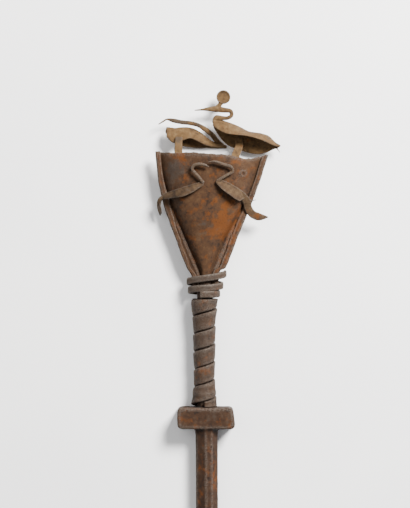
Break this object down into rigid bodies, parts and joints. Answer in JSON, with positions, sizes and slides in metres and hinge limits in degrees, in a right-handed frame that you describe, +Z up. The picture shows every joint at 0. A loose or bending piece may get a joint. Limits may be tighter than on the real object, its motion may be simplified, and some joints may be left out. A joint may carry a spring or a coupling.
{
  "type": "osanyin staff",
  "caption": "Forged iron ritual staff with a pointed shaft, a cross bar, a wound grip and a fan-shaped hollow head of folded sheet that carries long-beaked birds.",
  "frame": {"origin": "bottom centre of the bounding box: the floor plane that the staff lies on, under the middle of its length", "axes": "+Y up the staff, from the shaft's point to the birds; +Z up from the floor, out of the front of the head; +X to the right seen from the front"},
  "size_m": [0.1138, 0.6356, 0.0383],
  "materials": {
    "shaft": "forged iron, dark brown rust",
    "grip_wrap": "wound iron strip, brown rust, worn darker",
    "neck_binding": "wound iron strap, brown rust with grey wear",
    "head_shell": "hammered iron sheet, brown rust with orange patches",
    "top_right_bird": "thin iron sheet, light tan rust",
    "top_left_bird": "thin iron sheet, light tan rust, dark neck",
    "top_right_leg": "iron strap, light tan rust",
    "top_left_leg": "iron strap, light tan rust",
    "front_right_bird": "thin iron sheet, dark brown rust with bright worn edges",
    "front_left_bird": "thin iron sheet, dark brown rust with bright worn edges"
  },
  "bodies": {
    "root": {"shaft": "shaft", "grip_wrap": "grip_wrap", "neck_binding": "neck_binding", "head_shell": "head_shell", "top_right_bird": "top_right_bird", "top_left_bird": "top_left_bird", "top_right_leg": "top_right_leg", "top_left_leg": "top_left_leg", "front_right_bird": "front_right_bird", "front_left_bird": "front_left_bird"}
  },
  "joints": []
}
